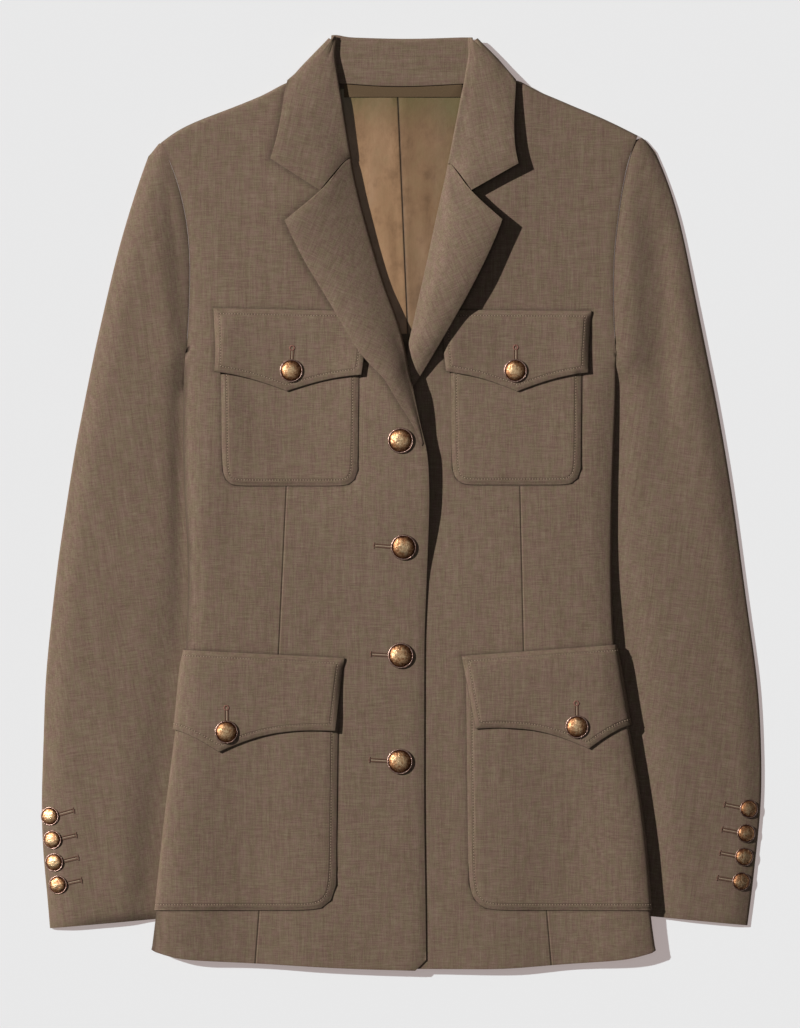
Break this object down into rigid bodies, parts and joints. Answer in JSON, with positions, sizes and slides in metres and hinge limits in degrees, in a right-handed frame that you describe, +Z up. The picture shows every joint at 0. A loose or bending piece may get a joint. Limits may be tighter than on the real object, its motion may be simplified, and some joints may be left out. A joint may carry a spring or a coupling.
{
  "type": "wool blazer",
  "caption": "Wool blazer with a notched collar, flapped patch pockets and metal buttons, laid flat on its back and buttoned up.",
  "frame": {"origin": "centre of the outline of the laid-flat blazer, on the surface that it rests on", "axes": "+Y from hem to collar, +Z up from the surface, +X towards the wearer's left side"},
  "size_m": [0.5623, 0.7278, 0.0249],
  "materials": {
    "wool": "brown plain-woven wool, matt",
    "satin": "brown satin lining, soft sheen",
    "neck band": "dark brown cloth strip, matt",
    "antiqued brass": "antiqued, with mottled patina"
  },
  "bodies": {
    "root": {"back": "wool", "chest_flap_left": "wool", "chest_flap_right": "wool", "chest_pocket_left": "wool", "chest_pocket_right": "wool", "collar_back": "wool", "collar_left": "wool", "collar_right": "wool", "cuff_button_left_1": "antiqued brass", "cuff_button_left_2": "antiqued brass", "cuff_button_left_3": "antiqued brass", "cuff_button_left_4": "antiqued brass", "cuff_button_right_1": "antiqued brass", "cuff_button_right_2": "antiqued brass", "cuff_button_right_3": "antiqued brass", "cuff_button_right_4": "antiqued brass", "front_button_1": "antiqued brass", "front_button_2": "antiqued brass", "front_button_3": "antiqued brass", "front_button_4": "antiqued brass", "front_left": "wool", "front_right": "wool", "lapel_left": "wool", "lapel_right": "wool", "lining_left": "satin", "lining_right": "satin", "lower_flap_left": "wool", "lower_flap_right": "wool", "lower_pocket_left": "wool", "lower_pocket_right": "wool", "neck_band": "neck band", "pocket_button_1": "antiqued brass", "pocket_button_2": "antiqued brass", "pocket_button_3": "antiqued brass", "pocket_button_4": "antiqued brass", "sleeve_left_under": "wool", "sleeve_left_upper": "wool", "sleeve_right_under": "wool", "sleeve_right_upper": "wool"}
  },
  "joints": []
}
